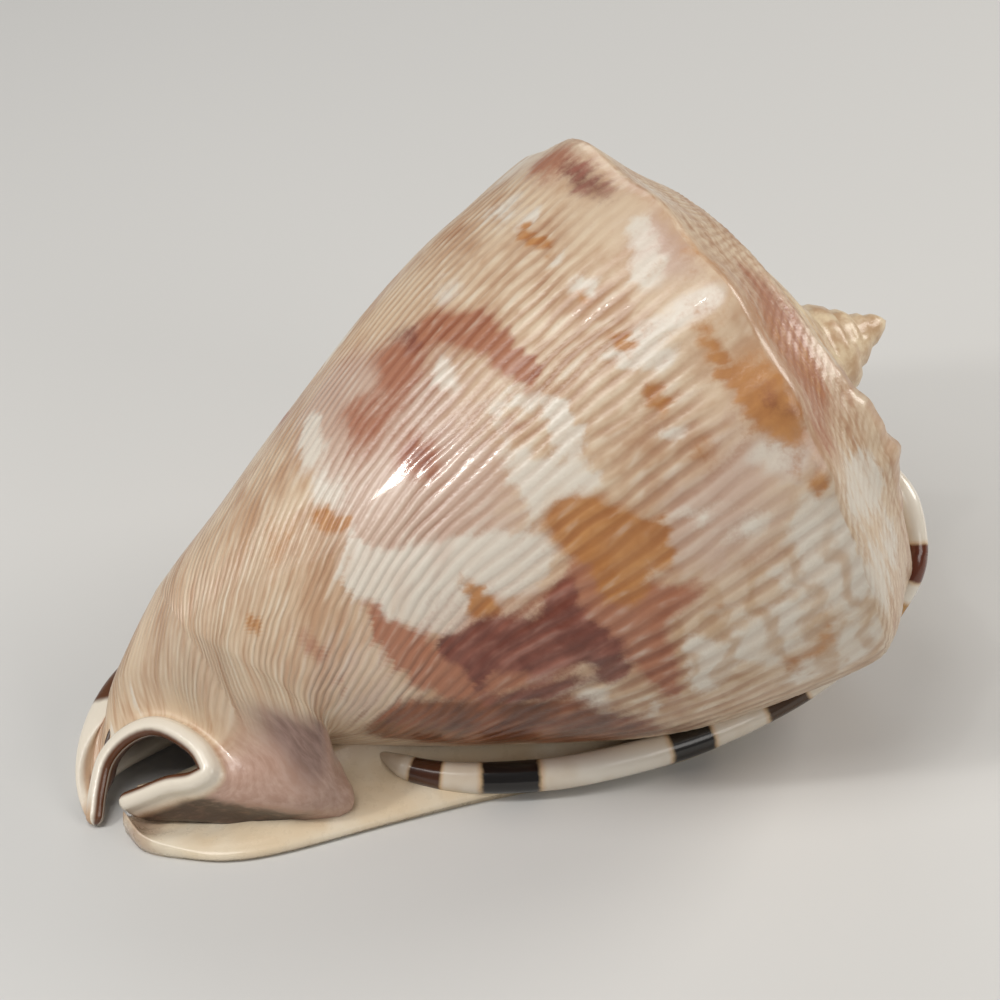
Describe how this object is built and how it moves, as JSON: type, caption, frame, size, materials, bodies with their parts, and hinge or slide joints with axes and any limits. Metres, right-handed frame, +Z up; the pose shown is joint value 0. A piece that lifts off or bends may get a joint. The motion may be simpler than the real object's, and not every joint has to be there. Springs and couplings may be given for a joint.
{
  "type": "helmet shell",
  "caption": "Helmet shell with a ribbed body, knobbed shoulder, low pointed spire, recurved canal, broad lip and enamel shield.",
  "frame": {"origin": "on the floor, under the middle of the shell's bounding box, with the shell resting on its aperture side", "axes": "+X toward the apex of the spire, +Y toward the outer lip, +Z up through the back of the last whorl"},
  "size_m": [0.0984, 0.072, 0.063],
  "materials": {
    "shell": "natural glazed calcium carbonate: warm cream ground with orange-brown and purple-brown blotches, white enamel on the canal rim, lip and shield"
  },
  "bodies": {
    "root": {"shell": "shell"}
  },
  "joints": []
}
